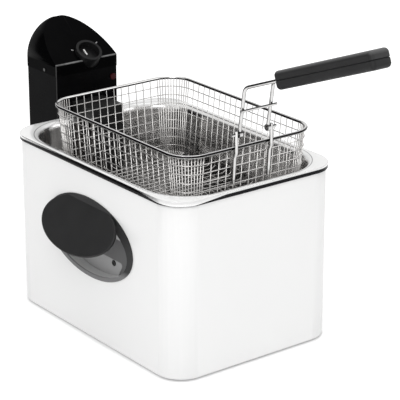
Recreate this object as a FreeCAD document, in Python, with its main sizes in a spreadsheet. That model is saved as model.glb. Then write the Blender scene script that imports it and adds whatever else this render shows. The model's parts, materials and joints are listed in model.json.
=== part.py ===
"""Deep fryer: painted housing, lift-out tank, control head with heater, and a wire basket.

Units are millimetres. X runs across the front, -Y is the front, Z is up, and the origin is on
the table under the middle of the housing.
"""
import FreeCAD
import Part
import Sketcher
import math
import os
import re

SIZES = {
    # Painted housing
    "body_width": 230, "body_depth": 324, "body_corner": 32, "body_base": 3, "body_top": 211.8, "sheet": 1.5,
    "base_plate": 2, "foot_radius": 9, "foot_inset_x": 16, "foot_inset_y": 52, "foot_stem": 3.5,
    "screw_head": 4, "screw_head_height": 2,
    # Lift-out tank, inside the housing
    "lip_reach": 2.4, "lip_height": 6, "flange": 1.2, "ledge_x": 12, "ledge_y": 9, "tank_corner": 48,
    "floor_raise": 59, "taper_x": 15, "taper_y": 8, "floor_corner": 40, "tank_wall": 1.2, "mouth_round": 4,
    # Carrying handles in the side walls
    "carry_length": 164, "carry_height": 90, "carry_level": 127, "carry_depth": 12, "carry_wall": 2,
    "carry_flange": 3, "carry_proud": 1.6, "carry_brow": 10, "flap_length": 138, "flap_height": 68,
    "flap_raise": 18.7, "flap_proud": 16.8, "flap_tilt": 35, "flap_wall": 4, "flap_round": 1.5,
    # Control head behind the housing
    "head_width": 89, "head_gap": 8, "head_depth": 64, "head_height": 143, "cap_raise": 51.2, "cap_lip": 14.5,
    "arch_raise": 12, "slope_angle": 33, "head_wall": 2.5, "head_round": 1.5,
    "knob_radius": 16.5, "knob_gap": 0.6, "knob_height": 15, "knob_sunk": 10, "knob_up": 10.3, "knob_side": 8,
    "knob_rim": 3.2, "knob_dish": 9, "knob_socket": 4, "shaft_radius": 3, "shaft_gap": 0.3,
    "pointer_width": 1.6, "pointer_length": 9, "pointer_raise": 0.8,
    "cap_hollow_width": 64, "cap_hollow_front": 30, "cap_hollow_height": 25,
    "regulator_width": 34, "regulator_depth": 26, "regulator_height": 20,
    "lamp_radius": 4, "lamp_inset": 6.5, "lamp_drop": 13, "lamp_proud": 1.6, "cap_screw_back": 25, "cap_screw_up": 4,
    "gland_radius": 8, "gland_bore": 3.5, "gland_proud": 9, "gland_raise": 18,
    "block_width": 44, "block_depth": 20, "block_height": 18, "cutout_radius": 9, "cutout_height": 22,
    "switch_width": 20, "switch_depth": 10, "switch_height": 16, "switch_raise": 66,
    # Heater and its carrier over the rim of the tank
    "carrier_width": 44, "carrier_height": 16, "carrier_sheet": 1.2, "shield_ahead": 10, "shield_raise": 12,
    "tube_radius": 4, "tube_raise": 10, "tube_bend": 11, "riser_side": 14, "riser_inset": 9, "loop_inset_x": 26,
    "loop_inner": 21, "loop_inset_y": 27, "loop_ahead": 24, "loop_short": 20, "tube_in": 8, "tube_end": 26,
    "bulb_radius": 3, "bulb_length": 90, "bulb_ahead": 7, "capillary": 1, "clip_sheet": 1, "clip_depth": 8,
    "clip_ahead": 52, "bulb_side": 5, "flange_width": 76, "flange_height": 34, "flange_sheet": 2,
    # Wire basket, drawn at its draining height
    "basket_gap_x": 9.5, "basket_gap_front": 4, "basket_gap_back": 38, "basket_corner": 29, "basket_raise": 41.7,
    "basket_height": 95, "basket_draft": 8, "rim_wire": 1.9, "mesh_wire": 1.2, "mesh_gap": 0.05, "rail_wire": 1.6,
    "front_gaps": 12, "side_gaps": 20, "rows": 8, "floor_gaps_x": 16, "floor_gaps_y": 23, "corner_wires": 4,
    "seat_gap": 0.2,
    # Folding basket handle
    "bar_wire": 2, "bar_side": 24.4, "bar_drop": 40.7, "bar_step": 10, "pivot_ahead": 3.5, "pivot_raise": 16.3,
    "pin_radius": 1.6, "pin_end": 31, "pin_gap": 0.15, "eye_radius": 3.8, "eye_width": 4.2, "leg_wire": 2,
    "leg_side": 19.8, "bend_ahead": 8.5, "bend_raise": 54, "grip_ahead": 48.5, "grip_raise": 69.5,
    "grip_tilt": 20.8, "handle_bend": 9, "cross_wire": 1.5, "cross_raise": 28, "cross_end": 25,
    "grip_length": 160, "grip_width": 27, "grip_height": 10.3, "grip_round": 5, "grip_seam": 0.8, "tang_side": 7,
    "tang_length": 120, "tang_gap": 0.1,
}

DERIVED = {
    "lip_top": "body_top + flange",
    "tank_width": "body_width - 2 * ledge_x",
    "tank_depth": "body_depth - 2 * ledge_y",
    "tank_floor": "body_base + floor_raise",
    "floor_width": "tank_width - 2 * taper_x",
    "floor_depth": "tank_depth - 2 * taper_y",
    "head_front": "body_depth / 2 + head_gap",
    "cap_low": "body_top + cap_raise",
    "head_low": "cap_low - head_height",
    "cap_front": "cap_low + cap_lip",
    "arch_level": "cap_low + arch_raise",
    "lamp_side": "head_width / 2 - lamp_inset",
    "lamp_level": "cap_low - lamp_drop",
    "gland_level": "head_low + gland_raise",
    "switch_level": "head_low + switch_raise",
    "riser_back": "floor_depth / 2 - riser_inset",
    "carrier_inner": "riser_back - shield_ahead",
    "tube_level": "tank_floor + tube_raise",
    "shield_low": "tube_level + shield_raise",
    "tube_top": "lip_top + tube_in",
    "tube_start": "head_front + tube_end",
    "loop_outer": "floor_width / 2 - loop_inset_x",
    "loop_front": "floor_depth / 2 - loop_inset_y",
    "loop_back": "riser_back - loop_ahead",
    "loop_middle": "loop_back - loop_short",
    "bulb_front": "loop_back - bulb_ahead - bulb_length",
    "clip_back": "loop_back - clip_ahead",
    "basket_width": "tank_width - 2 * basket_gap_x",
    "basket_depth": "tank_depth - basket_gap_front - basket_gap_back",
    "basket_middle": "(basket_gap_front - basket_gap_back) / 2",
    "basket_rim": "lip_top + basket_raise",
    "bar_low": "basket_rim - bar_drop",
    "pivot_front": "basket_depth / 2 - basket_middle + pivot_ahead",
    "pivot_level": "basket_rim + pivot_raise",
    "bend_front": "pivot_front + bend_ahead",
    "bend_level": "pivot_level + bend_raise",
    "grip_front": "pivot_front + grip_ahead",
    "grip_level": "pivot_level + grip_raise",
    "cross_level": "pivot_level + cross_raise",
}

doc = FreeCAD.newDocument("deep_fryer")
sheet = doc.addObject("Spreadsheet::Sheet", "Sizes")
CELLS = {**SIZES, **{alias: f"={rule}" for alias, rule in DERIVED.items()}}
for row, (alias, value) in enumerate(CELLS.items(), start=1):
    sheet.set(f"A{row}", alias)
    sheet.setAlias(f"B{row}", alias)
    sheet.set(f"B{row}", str(value))
doc.recompute()

NAMES = re.compile(r"\b(" + "|".join(sorted(CELLS, key=len, reverse=True)) + r")\b")
PARTS = []
V = FreeCAD.Vector
UPRIGHT = FreeCAD.Rotation()
FACING_X = FreeCAD.Rotation(V(1, 1, 1), 120)
SLACK = 0.01
ALONG_Y = FreeCAD.Rotation(V(1, 0, 0), -90)
SLOPE_COS = "cos(slope_angle * 1 deg)"
SLOPE_SIN = "sin(slope_angle * 1 deg)"


def size(name):
    """The present value of a cell."""
    return float(sheet.get(name))


def worth(text):
    """The present value of an expression in cell names."""
    return float(sheet.evalExpression(NAMES.sub(r"Sizes.\1", str(text))))


def bind(thing, prop, text):
    """Ties one property to an expression in cell names."""
    thing.setExpression(prop, NAMES.sub(r"Sizes.\1", str(text)))


def place(thing, at, turn=UPRIGHT):
    """Puts a thing at three expressions, turned by a fixed rotation."""
    thing.Placement = FreeCAD.Placement(V(), turn)
    for axis, text in zip("xyz", at):
        bind(thing, f"Placement.Base.{axis}", text)


def keep(thing, label):
    """Registers a finished sub-part under its file name."""
    thing.Label = label
    PARTS.append(thing)
    return thing


def new_body(label):
    """An empty body that becomes a sub-part."""
    return keep(doc.addObject("PartDesign::Body", label), label)


def oval(body, name, width, depth, corner, at, turn=UPRIGHT):
    """A sketch of a rectangle with round corners, centred on its own origin."""
    sketch = body.newObject("Sketcher::SketchObject", name)
    radius = worth(corner)
    half_w, half_d = worth(width) / 2 - radius, worth(depth) / 2 - radius
    centres = [(half_w, half_d), (-half_w, half_d), (-half_w, -half_d), (half_w, -half_d)]
    for turn_index, (x, y) in enumerate(centres):
        start = turn_index * math.pi / 2
        circle = Part.Circle(V(x, y), V(0, 0, 1), radius)
        sketch.addGeometry(Part.ArcOfCircle(circle, start, start + math.pi / 2))
    for turn_index in range(4):
        first = sketch.getPoint(turn_index, 2)
        second = sketch.getPoint((turn_index + 1) % 4, 1)
        sketch.addGeometry(Part.LineSegment(first, second))
    for turn_index in range(4):
        line = 4 + turn_index
        sketch.addConstraint(Sketcher.Constraint("Tangent", turn_index, 2, line, 1))
        sketch.addConstraint(Sketcher.Constraint("Tangent", line, 2, (turn_index + 1) % 4, 1))
        if turn_index:
            sketch.addConstraint(Sketcher.Constraint("Equal", 0, turn_index))
    sketch.addConstraint(Sketcher.Constraint("Horizontal", 4))
    sketch.addConstraint(Sketcher.Constraint("Vertical", 5))
    sketch.addConstraint(Sketcher.Constraint("Symmetric", 0, 3, 2, 3, -1, 1))
    for label, kind, value in (("across", "DistanceX", 2 * half_w), ("along", "DistanceY", 2 * half_d)):
        index = sketch.addConstraint(Sketcher.Constraint(kind, 2, 3, 0, 3, value))
        sketch.renameConstraint(index, label)
    sketch.renameConstraint(sketch.addConstraint(Sketcher.Constraint("Radius", 0, radius)), "corner")
    bind(sketch, "Constraints.corner", corner)
    bind(sketch, "Constraints.across", f"({width}) - 2 * ({corner})")
    bind(sketch, "Constraints.along", f"({depth}) - 2 * ({corner})")
    place(sketch, at, turn)
    return sketch


def ellipse(body, name, long, short, at, turn=UPRIGHT):
    """A sketch of an ellipse with its long axis flat, centred on its own origin."""
    sketch = body.newObject("Sketcher::SketchObject", name)
    half_long, half_short = worth(long) / 2, worth(short) / 2
    sketch.addGeometry(Part.Ellipse(V(0, 0, 0), half_long, half_short))
    sketch.exposeInternalGeometry(0)
    sketch.addConstraint(Sketcher.Constraint("Coincident", 0, 3, -1, 1))
    sketch.addConstraint(Sketcher.Constraint("Horizontal", 1))
    for label, line, value, text in (("long", 1, 2 * half_long, long), ("short", 2, 2 * half_short, short)):
        index = sketch.addConstraint(Sketcher.Constraint("Distance", line, value))
        sketch.renameConstraint(index, label)
        bind(sketch, f"Constraints.{label}", text)
    place(sketch, at, turn)
    return sketch


def pad(body, sketch, length, kind="Pad", reverse=False, middle=False):
    """Pads or pockets a sketch by an expression."""
    feature = body.newObject(f"PartDesign::{kind}", f"{sketch.Name}_{kind}")
    feature.Profile = sketch
    bind(feature, "Length", length)
    feature.Reversed = reverse
    feature.Midplane = middle
    doc.recompute()
    return feature


def loft(body, first, second, kind="AdditiveLoft"):
    """Joins two sketches with straight sides."""
    feature = body.newObject(f"PartDesign::{kind}", f"{first.Name}_{kind}")
    feature.Profile = first
    feature.Sections = [second]
    feature.Ruled = True
    doc.recompute()
    return feature


def prim(body, kind, name, at, sizes, turn=UPRIGHT):
    """An additive or subtractive primitive whose sizes are expressions."""
    feature = body.newObject(f"PartDesign::{kind}", name)
    for prop, text in sizes.items():
        bind(feature, prop, text)
    place(feature, at, turn)
    doc.recompute()
    return feature


def round_edges(body, radius, test, kind="Fillet"):
    """Rounds the edges of the body's tip that a test picks out."""
    tip = body.Tip
    names = [f"Edge{i}" for i, edge in enumerate(tip.Shape.Edges, start=1) if test(edge)]
    feature = body.newObject(f"PartDesign::{kind}", f"{tip.Name}_{kind}")
    feature.Base = (tip, names)
    bind(feature, "Radius" if kind == "Fillet" else "Size", radius)
    doc.recompute()
    return feature


def level(value, slack=SLACK):
    """A test for edges that lie flat at one height."""
    def test(edge):
        box = edge.BoundBox
        return abs(box.ZMin - value) < slack and abs(box.ZMax - value) < slack
    return test


def upright(edge):
    """A test for straight edges along Z."""
    box = edge.BoundBox
    return box.XLength < SLACK and box.YLength < SLACK and box.ZLength > 1


def shape_part(label, shape):
    """A sub-part whose form is swept or patterned wire."""
    feature = doc.addObject("Part::Feature", label)
    feature.Shape = shape
    return keep(feature, label)


def bent_path(points, radius):
    """A wire of straight runs joined by tangent arcs at its inner points."""
    edges = []
    start = points[0]
    for before, corner, after in zip(points, points[1:], points[2:]):
        into = (corner - before).normalize()
        out = (after - corner).normalize()
        half = math.acos(max(-1.0, min(1.0, into.dot(out)))) / 2
        cut = radius * math.tan(half)
        first = corner - into * cut
        last = corner + out * cut
        bisector = (out - into).normalize()
        centre = corner + bisector * (radius / math.cos(half))
        edges.append(Part.LineSegment(start, first).toShape())
        edges.append(Part.Arc(first, centre - bisector * radius, last).toShape())
        start = last
    edges.append(Part.LineSegment(start, points[-1]).toShape())
    return Part.Wire(edges)


def tube(points, wire_radius, bend):
    """A round rod along a bent path."""
    path = bent_path([V(*p) for p in points], bend)
    start = path.Edges[0]
    ring = Part.Wire(Part.makeCircle(wire_radius, V(*points[0]), start.tangentAt(start.FirstParameter)))
    return path.makePipeShell([ring], True, False)


def rod(start, end, radius):
    """A straight round rod."""
    start, end = V(*start), V(*end)
    return Part.makeCylinder(radius, (end - start).Length, start, end - start)


def fused(shapes):
    """One solid from several that run into each other."""
    return shapes[0].fuse(shapes[1:]).removeSplitter()


def housing():
    """Wrapped steel walls with an oval window for each carrying handle."""
    body = new_body("housing_shell")
    outer = oval(body, "ShellOuter", "body_width", "body_depth", "body_corner", ("0", "0", "body_base"))
    pad(body, outer, "body_top - body_base")
    inner = oval(body, "ShellInner", "body_width - 2 * sheet", "body_depth - 2 * sheet",
                 "body_corner - sheet", ("0", "0", "body_base"))
    pad(body, inner, "body_top - body_base", "Pocket", reverse=True)
    window = ellipse(body, "ShellWindow", "carry_length", "carry_height", ("0", "0", "carry_level"), FACING_X)
    pad(body, window, "body_width * 2", "Pocket", middle=True)


def base():
    """The floor of the housing, with feet pressed through it."""
    body = new_body("base_plate")
    outline = oval(body, "BaseOutline", "body_width - 2 * sheet", "body_depth - 2 * sheet",
                   "body_corner - sheet", ("0", "0", "body_base"))
    pad(body, outline, "base_plate")
    for index, (x, y) in enumerate(FEET):
        prim(body, "SubtractiveCylinder", f"BaseHole{index}", (x, y, "body_base"),
             {"Radius": "foot_stem", "Height": "base_plate"})
    for index, (x, y) in enumerate(FEET, start=1):
        foot = new_body(f"rubber_foot_{index}")
        prim(foot, "AdditiveCylinder", f"Pad{index}", (x, y, "0"), {"Radius": "foot_radius", "Height": "body_base"})
        prim(foot, "AdditiveCylinder", f"Stem{index}", (x, y, "body_base"),
             {"Radius": "foot_stem", "Height": "base_plate * 2"})


FEET = [(f"{sx} * (body_width / 2 - foot_inset_x)", f"{sy} * (body_depth / 2 - foot_inset_y)")
        for sx in (-1, 1) for sy in (-1, 1)]


def tank():
    """Deep-drawn steel pot with a flat flange and a turned-down lip over the housing."""
    body = new_body("tank")
    lip = oval(body, "LipOuter", "body_width + 2 * lip_reach", "body_depth + 2 * lip_reach",
               "body_corner + lip_reach", ("0", "0", "lip_top - lip_height"))
    pad(body, lip, "lip_height")
    hollow = oval(body, "LipInner", "body_width + 2 * (lip_reach - flange)",
                  "body_depth + 2 * (lip_reach - flange)", "body_corner + lip_reach - flange",
                  ("0", "0", "lip_top - lip_height"))
    pad(body, hollow, "lip_height - flange", "Pocket", reverse=True)
    for name, extra, high, low, kind in (
            ("Outer", "tank_wall", "lip_top - flange / 2", "tank_floor - tank_wall", "AdditiveLoft"),
            ("Inner", "0", "lip_top", "tank_floor", "SubtractiveLoft")):
        rings = []
        for spot, width, depth, corner, height in (
                ("Mouth", "tank_width + 2 * mouth_round", "tank_depth + 2 * mouth_round",
                 "tank_corner + mouth_round", high),
                ("Throat", "tank_width", "tank_depth", "tank_corner", "lip_top - mouth_round"),
                ("Floor", "floor_width", "floor_depth", "floor_corner", low)):
            rings.append([oval(body, f"{spot}{name}{copy}", f"{width} + 2 * {extra}", f"{depth} + 2 * {extra}",
                               f"{corner} + {extra}", ("0", "0", height)) for copy in range(2)])
        loft(body, rings[0][0], rings[1][0], kind)
        loft(body, rings[1][1], rings[2][0], kind)


def carry_handle(label, side):
    """A moulded cup in the side wall, with a rim and a sloping flap that hangs over it from its upper edge."""
    body = new_body(label)
    wall = f"{side} * body_width / 2"
    inward = side > 0
    flap_level = "carry_level + flap_raise"
    tilt = FreeCAD.Rotation(V(0, 1, 0), -side * size("flap_tilt")).multiply(FACING_X)
    flap = ellipse(body, f"{label}_Flap", "flap_length", "flap_height",
                   (f"{side} * (body_width / 2 + flap_proud)", "0", flap_level), tilt)
    pad(body, flap, "flap_wall", reverse=inward)
    behind = "body_width / 2 - flap_height" if inward else "-body_width / 2"
    prim(body, "SubtractiveBox", f"{label}_Trim", (behind, "-flap_length / 2", f"{flap_level} - flap_height / 2"),
         {"Length": "flap_height", "Width": "flap_length", "Height": "flap_height"})
    rim = ellipse(body, f"{label}_Rim", "carry_length + 2 * carry_flange", "carry_height + 2 * carry_flange",
                  (wall, "0", "carry_level"), FACING_X)
    pad(body, rim, "carry_proud", reverse=not inward)
    cup = ellipse(body, f"{label}_Cup", "carry_length - 2 * seat_gap", "carry_height - 2 * seat_gap",
                  (wall, "0", "carry_level"), FACING_X)
    pad(body, cup, "carry_depth + carry_wall", reverse=inward)
    scoop = ellipse(body, f"{label}_Scoop", "carry_length - 2 * carry_wall - carry_brow",
                    "carry_height - 2 * carry_wall - carry_brow",
                    (f"{side} * (body_width / 2 + carry_proud)", "0", "carry_level - carry_brow / 2"), FACING_X)
    pad(body, scoop, "carry_depth + carry_proud", "Pocket", reverse=not inward)
    face = size("body_width") / 2 + size("carry_proud")
    reach = size("flap_round")

    def flap_edge(edge):
        box = edge.BoundBox
        return max(-box.XMin, box.XMax) > face + reach and box.ZLength > 2 * reach
    round_edges(body, "flap_round", flap_edge)


def head_body():
    """Hollow lower column of the control head, open at the top and slotted for the carrier."""
    body = new_body("head_body")
    prim(body, "AdditiveBox", "ColumnBlock", ("-head_width / 2", "head_front", "head_low"),
         {"Length": "head_width", "Width": "head_depth", "Height": "cap_low - head_low"})
    round_edges(body, "head_round", upright)
    prim(body, "SubtractiveBox", "ColumnHollow",
         ("-head_width / 2 + head_wall", "head_front + head_wall", "head_low + head_wall"),
         {"Length": "head_width - 2 * head_wall", "Width": "head_depth - 2 * head_wall",
          "Height": "cap_low - head_low - head_wall"})
    prim(body, "SubtractiveBox", "ColumnSlot", ("-carrier_width / 2", "head_front", "lip_top"),
         {"Length": "carrier_width", "Width": "head_wall", "Height": "carrier_height"})
    prim(body, "SubtractiveCylinder", "ColumnInlet", ("0", "head_front + head_depth - head_wall", "gland_level"),
         {"Radius": "gland_bore", "Height": "head_wall"}, ALONG_Y)
    prim(body, "SubtractiveCylinder", "ColumnLamp", ("lamp_side", "head_front", "lamp_level"),
         {"Radius": "lamp_radius * 0.6", "Height": "head_wall"}, ALONG_Y)


def on_slope(up, side, lift):
    """A place on the sloping panel: up it from the front edge, along X, and off it."""
    return (side, f"head_front + ({up}) * {SLOPE_COS} - ({lift}) * {SLOPE_SIN}",
            f"cap_front + ({up}) * {SLOPE_SIN} + ({lift}) * {SLOPE_COS}")


def tilted(feature):
    """Turns a feature square to the sloping panel."""
    feature.Placement = FreeCAD.Placement(feature.Placement.Base, FreeCAD.Rotation(V(1, 0, 0), 1))
    bind(feature, "Placement.Rotation.Angle", "slope_angle * 1 deg")
    doc.recompute()


def head_cap():
    """Arched cap cut by the sloping panel, with a well for the knob."""
    body = new_body("head_cap")
    prim(body, "AdditiveBox", "CapSkirt", ("-head_width / 2", "head_front", "cap_low"),
         {"Length": "head_width", "Width": "head_depth", "Height": "arch_level - cap_low"})
    prim(body, "AdditiveCylinder", "CapArch", ("0", "head_front", "arch_level"),
         {"Radius": "head_width / 2", "Height": "head_depth"}, ALONG_Y)
    prim(body, "SubtractiveBox", "CapUnder", ("-head_width", "head_front", "cap_low - head_width"),
         {"Length": "2 * head_width", "Width": "head_depth", "Height": "head_width"})
    cut = prim(body, "SubtractiveBox", "CapSlope", ("-head_width", "head_front", "cap_front"),
               {"Length": "2 * head_width", "Width": "3 * head_depth", "Height": "2 * head_depth"})
    tilted(cut)
    prim(body, "SubtractiveBox", "CapHollow",
         ("-cap_hollow_width / 2", "head_front + cap_hollow_front", "cap_low"),
         {"Length": "cap_hollow_width", "Width": "head_depth - cap_hollow_front - head_wall",
          "Height": "cap_hollow_height"})
    well = prim(body, "SubtractiveCylinder", "CapWell", on_slope("knob_up", "knob_side", "-knob_sunk - knob_gap"),
                {"Radius": "knob_radius + knob_gap", "Height": "knob_height * 2"})
    tilted(well)
    bore = prim(body, "SubtractiveCylinder", "CapBore", on_slope("knob_up", "knob_side", "-knob_height * 3"),
                {"Radius": "shaft_radius + shaft_gap", "Height": "knob_height * 3"})
    tilted(bore)


def knob():
    """Thermostat knob with a raised rim, a pointer bar and a shaft socket."""
    body = new_body("thermostat_knob")
    disc = prim(body, "AdditiveCylinder", "KnobDisc", on_slope("knob_up", "knob_side", "-knob_sunk"),
                {"Radius": "knob_radius", "Height": "knob_height"})
    tilted(disc)
    dish = prim(body, "SubtractiveCylinder", "KnobDish",
                on_slope("knob_up", "knob_side", "knob_height - knob_sunk - knob_dish"),
                {"Radius": "knob_radius - knob_rim", "Height": "knob_dish"})
    tilted(dish)
    socket = prim(body, "SubtractiveCylinder", "KnobSocket", on_slope("knob_up", "knob_side", "-knob_sunk"),
                  {"Radius": "shaft_radius", "Height": "knob_socket"})
    tilted(socket)
    pointer = new_body("knob_pointer")
    bar = prim(pointer, "AdditiveBox", "PointerBar",
               on_slope("knob_up", "knob_side - pointer_width / 2", "knob_height - knob_sunk - knob_dish"),
               {"Length": "pointer_width", "Width": "pointer_length", "Height": "pointer_raise"})
    tilted(bar)


def regulator():
    """Thermostat body under the cap, with the shaft that the knob turns on."""
    body = new_body("thermostat_body")
    case = prim(body, "AdditiveBox", "RegulatorCase",
                on_slope("knob_up - regulator_depth / 2", "knob_side - regulator_width / 2",
                         "-knob_height * 2 - regulator_height"),
                {"Length": "regulator_width", "Width": "regulator_depth", "Height": "regulator_height"})
    tilted(case)
    shaft = prim(body, "AdditiveCylinder", "RegulatorShaft", on_slope("knob_up", "knob_side", "-knob_height * 2"),
                 {"Radius": "shaft_radius", "Height": "knob_height * 2 - knob_sunk + knob_socket"})
    tilted(shaft)


def head_fittings():
    """Pilot lamp, inlet gland and the electrical pieces inside the head."""
    lamp = new_body("pilot_lamp")
    prim(lamp, "AdditiveCylinder", "LampStem", ("lamp_side", "head_front", "lamp_level"),
         {"Radius": "lamp_radius * 0.6", "Height": "head_wall"}, ALONG_Y)
    prim(lamp, "AdditiveCylinder", "LampLens", ("lamp_side", "head_front - lamp_proud", "lamp_level"),
         {"Radius": "lamp_radius", "Height": "lamp_proud"}, ALONG_Y)
    gland = new_body("cable_gland")
    back = "head_front + head_depth"
    prim(gland, "AdditiveCylinder", "GlandBoss", ("0", back, "gland_level"),
         {"Radius": "gland_radius", "Height": "gland_proud"}, ALONG_Y)
    round_edges(gland, "gland_proud / 4", lambda edge: edge.BoundBox.YMin > size("head_front")
                + size("head_depth") + 1)
    prim(gland, "SubtractiveCylinder", "GlandBore", ("0", back, "gland_level"),
         {"Radius": "gland_bore", "Height": "gland_proud"}, ALONG_Y)
    block = new_body("terminal_block")
    prim(block, "AdditiveBox", "Block", ("-block_width / 2", "head_front + head_wall * 2", "head_low + head_wall"),
         {"Length": "block_width", "Width": "block_depth", "Height": "block_height"})
    cutout = new_body("thermal_cutout")
    prim(cutout, "AdditiveCylinder", "CutoutCan",
         ("0", "head_front + head_depth - head_wall * 2 - cutout_radius", "head_low + head_wall"),
         {"Radius": "cutout_radius", "Height": "cutout_height"})
    switch = new_body("safety_switch")
    prim(switch, "AdditiveBox", "SwitchCase", ("-switch_width / 2", "head_front + head_wall", "switch_level"),
         {"Length": "switch_width", "Width": "switch_depth", "Height": "switch_height"})
    for label, side in (("cap_screw_left", -1), ("cap_screw_right", 1)):
        screw = new_body(label)
        prim(screw, "AdditiveCylinder", f"{label}_Head",
             (f"{side} * head_width / 2", "head_front + cap_screw_back", "cap_low + cap_screw_up"),
             {"Radius": "screw_head / 2", "Height": "screw_head_height / 2"},
             FreeCAD.Rotation(V(0, 1, 0), 90 * side))


def carrier():
    """Steel channel from the head over the rim, with a shield down in front of the heater's risers."""
    body = new_body("heater_carrier")
    prim(body, "AdditiveBox", "CarrierBlock", ("-carrier_width / 2", "carrier_inner", "lip_top"),
         {"Length": "carrier_width", "Width": "head_front + head_wall - carrier_inner", "Height": "carrier_height"})
    prim(body, "AdditiveBox", "CarrierShield", ("-carrier_width / 2", "carrier_inner", "shield_low"),
         {"Length": "carrier_width", "Width": "carrier_sheet", "Height": "lip_top - shield_low"})
    prim(body, "SubtractiveBox", "CarrierHollow",
         ("-carrier_width / 2 + carrier_sheet", "carrier_inner + carrier_sheet", "lip_top"),
         {"Length": "carrier_width - 2 * carrier_sheet", "Width": "head_front",
          "Height": "carrier_height - carrier_sheet"})


def heater_flange():
    """Plate inside the head that the heater's tube and the capillaries pass through."""
    body = new_body("heater_flange")
    back = "head_front + head_wall"
    prim(body, "AdditiveBox", "FlangePlate", ("-flange_width / 2", back, "tube_top - flange_height / 2"),
         {"Length": "flange_width", "Width": "flange_sheet", "Height": "flange_height"})
    for index, (side, radius) in enumerate((("-riser_side", "tube_radius"), ("riser_side", "tube_radius"),
                                            ("-bulb_side", "capillary"), ("bulb_side", "capillary"))):
        prim(body, "SubtractiveCylinder", f"FlangeHole{index}", (side, back, "tube_top"),
             {"Radius": radius, "Height": "flange_sheet"}, ALONG_Y)


def heater():
    """One tube down the back of the tank, four runs along its floor, and up again."""
    side, back = size("riser_side"), size("riser_back")
    outer, inner = size("loop_outer"), size("loop_inner")
    front, turn, middle = -size("loop_front"), size("loop_back"), size("loop_middle")
    low, high, start = size("tube_level"), size("tube_top"), size("tube_start")
    half = [(side, start, high), (side, back, high), (side, back, low), (side, turn, low), (outer, turn, low),
            (outer, front, low), (inner, front, low), (inner, middle, low)]
    points = [(-x, y, z) for x, y, z in half] + half[::-1]
    shape_part("heating_element", tube(points, size("tube_radius"), size("tube_bend")))


def bulbs():
    """Two sensor bulbs on a clip over the inner runs, with capillaries up to the head."""
    clip_top = size("tube_level") + size("tube_radius") + size("clip_sheet")
    lift = clip_top + size("bulb_radius")
    clip = new_body("bulb_clip")
    prim(clip, "AdditiveBox", "ClipPlate",
         ("-loop_inner - tube_radius", "clip_back", "tube_level + tube_radius"),
         {"Length": "2 * (loop_inner + tube_radius)", "Width": "clip_depth", "Height": "clip_sheet"})
    for label, side in (("thermostat_bulb", -1), ("cutout_bulb", 1)):
        x = side * size("bulb_side")
        end = size("bulb_front") + size("bulb_length")
        can = rod((x, size("bulb_front"), lift), (x, end, lift), size("bulb_radius"))
        tail = tube([(x, end - 1, lift), (x, size("riser_back"), lift), (x, size("riser_back"), size("tube_top")),
                     (x, size("tube_start"), size("tube_top"))], size("capillary"), size("tube_bend"))
        shape_part(label, can.fuse(tail))


def basket_half(fraction):
    """Half width, half depth and corner radius of the basket, from its rim (0) to its floor (1)."""
    inset = size("basket_draft") * fraction
    return (size("basket_width") / 2 - inset, size("basket_depth") / 2 - inset, size("basket_corner") - inset)


def basket_ring(fraction, height):
    """The basket's outline at one height as a wire."""
    half_w, half_d, radius = basket_half(fraction)
    mid = size("basket_middle")
    edges = []
    last = None
    for quarter, (sx, sy) in enumerate(((1, 1), (-1, 1), (-1, -1), (1, -1))):
        centre = V(sx * (half_w - radius), mid + sy * (half_d - radius), height)
        spots = []
        for step in range(3):
            angle = math.radians(90 * quarter + 45 * step)
            spots.append(centre + V(radius * math.cos(angle), radius * math.sin(angle), 0))
        if last is not None:
            edges.append(Part.LineSegment(last, spots[0]).toShape())
        edges.append(Part.Arc(*spots).toShape())
        last = spots[2]
    edges.append(Part.LineSegment(last, edges[0].Vertexes[0].Point).toShape())
    return Part.Wire(edges)


def basket_rim():
    """Thick wire hoop round the top of the basket."""
    path = basket_ring(0, size("basket_rim"))
    ring = Part.Wire(Part.makeCircle(size("rim_wire"), path.Edges[-1].valueAt(path.Edges[-1].FirstParameter),
                                     path.Edges[-1].tangentAt(path.Edges[-1].FirstParameter)))
    shape_part("basket_rim", path.makePipeShell([ring], True, False))


def mesh_panel(length, height, gaps, rows):
    """A flat panel of upright wires behind crosswise ones, held by rails and end posts."""
    wire, rail = size("mesh_wire"), size("rail_wire")
    step = length / gaps
    solids = [Part.makeBox(length, rail, rail, V(-length / 2, 0, z)) for z in (0, height - rail)]
    for index in range(1, gaps):
        solids.append(Part.makeBox(wire, wire, height - rail, V(-length / 2 + index * step - wire / 2, 0, rail / 2)))
    deep = 2 * wire + size("mesh_gap") + wire / 2
    for end in (-length / 2, length / 2 - rail):
        solids.append(Part.makeBox(rail, deep, height, V(end, 0, 0)))
    back = rail + size("mesh_gap")
    for index in range(1, rows):
        solids.append(Part.makeBox(length - rail, wire, wire,
                                   V(-(length - rail) / 2, back, index * height / rows - wire / 2)))
    return fused(solids)


def basket_walls():
    """Four sloping mesh panels between the corners."""
    half_w, half_d, radius = basket_half(0)
    mid = size("basket_middle")
    draft = size("basket_draft")
    tall = size("basket_height") - size("rim_wire") - size("rail_wire") - 2 * size("seat_gap")
    lean = math.degrees(math.atan(draft / size("basket_height")))
    low = size("basket_rim") - size("basket_height") + size("rail_wire") + size("seat_gap")
    foot_w, foot_d, _ = basket_half(1)
    walls = (("basket_front", 2 * (half_w - radius), "front_gaps", (0, mid - foot_d), 0),
             ("basket_back", 2 * (half_w - radius), "front_gaps", (0, mid + foot_d), 180),
             ("basket_left", 2 * (half_d - radius), "side_gaps", (-foot_w, mid), -90),
             ("basket_right", 2 * (half_d - radius), "side_gaps", (foot_w, mid), 90))
    for label, length, gaps, (x, y), turn in walls:
        panel = mesh_panel(length - 2 * size("seat_gap"), tall / math.cos(math.radians(lean)),
                           int(size(gaps)), int(size("rows")))
        facing = FreeCAD.Rotation(V(0, 0, 1), turn).multiply(FreeCAD.Rotation(V(1, 0, 0), lean))
        wall = shape_part(label, panel)
        wall.Placement = FreeCAD.Placement(V(x, y, low), facing)


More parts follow.
